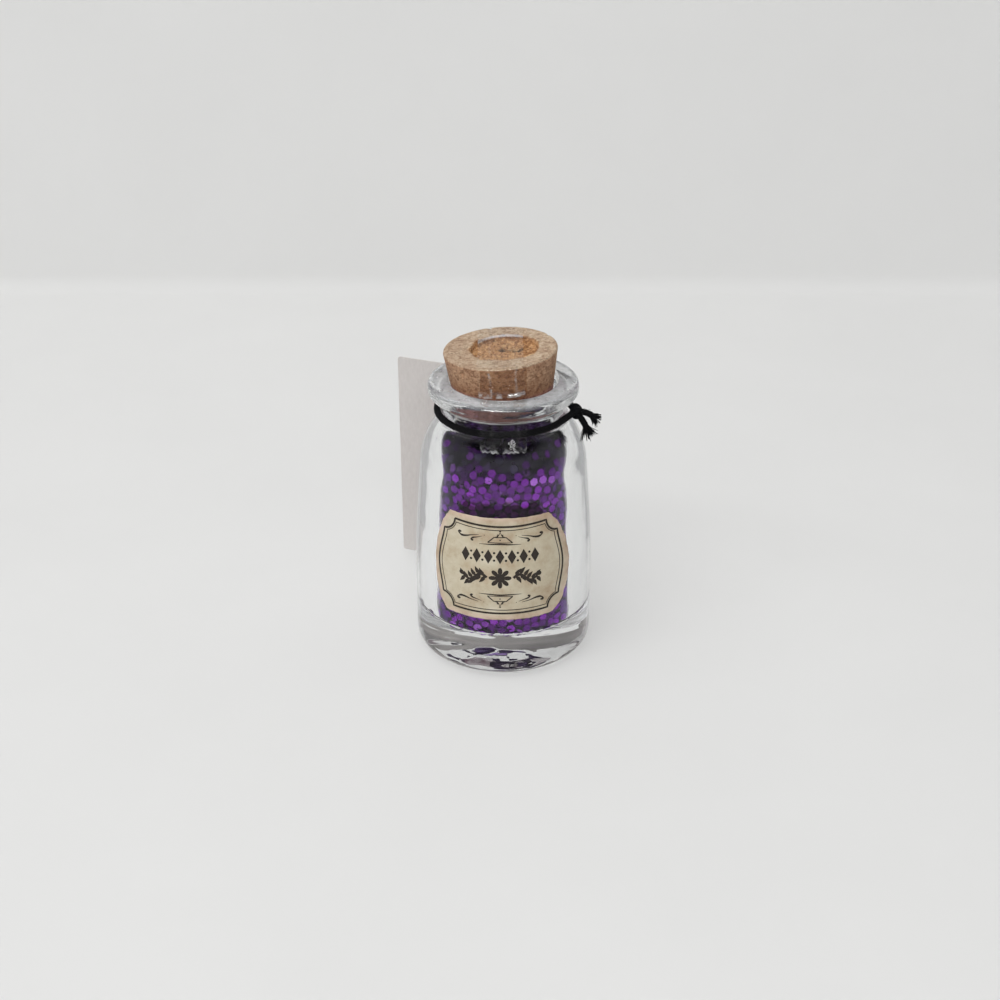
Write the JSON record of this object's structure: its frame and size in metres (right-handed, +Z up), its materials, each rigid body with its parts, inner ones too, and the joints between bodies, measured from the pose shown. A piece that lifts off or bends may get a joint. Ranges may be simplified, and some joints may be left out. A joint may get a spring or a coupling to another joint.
{
  "type": "corked glass bottle",
  "caption": "Small thick-walled glass bottle with a tapered cork, coarse glitter inside, a paper label, a cord with a hanging tag and a tape seal.",
  "frame": {"origin": "middle of the bottle's flat foot, on the surface it stands on", "axes": "+Z up along the bottle's axis, -Y towards the front label, +X to the right seen from the label"},
  "size_m": [0.0446, 0.0496, 0.0694],
  "materials": {
    "clear_glass": "clear, fire-polished",
    "cork": "pressed natural cork, rough",
    "purple_glitter": "metallised hexagonal flakes",
    "label_paper": "matt aged paper with dark brown print",
    "black_cord": "twisted waxed thread, frayed at its ends",
    "tag_card": "smooth coated card",
    "clear_tape": "clear glossy film"
  },
  "bodies": {
    "bottle": {"glass_bottle": "clear_glass", "glitter_fill": "purple_glitter", "glitter_flakes": "purple_glitter", "front_label": "label_paper", "neck_cord": "black_cord", "seal_tape_front": "clear_tape", "seal_tape_back": "clear_tape"},
    "cork": {"cork_stopper": "cork", "seal_tape_top": "clear_tape"},
    "tag": {"hang_tag": "tag_card"}
  },
  "joints": [
    {"name": "cork_pull", "type": "slide", "parent": "bottle", "child": "cork", "axis": [-0.0593, 0, 0.9982], "range_m": [0, 0.02]},
    {"name": "tag_swing", "type": "hinge", "parent": "bottle", "child": "tag", "pos_m": [-0.00893, 0.02445, 0.0514], "axis": [0.3584, 0.9336, 0], "range_deg": [-35, 35]}
  ]
}
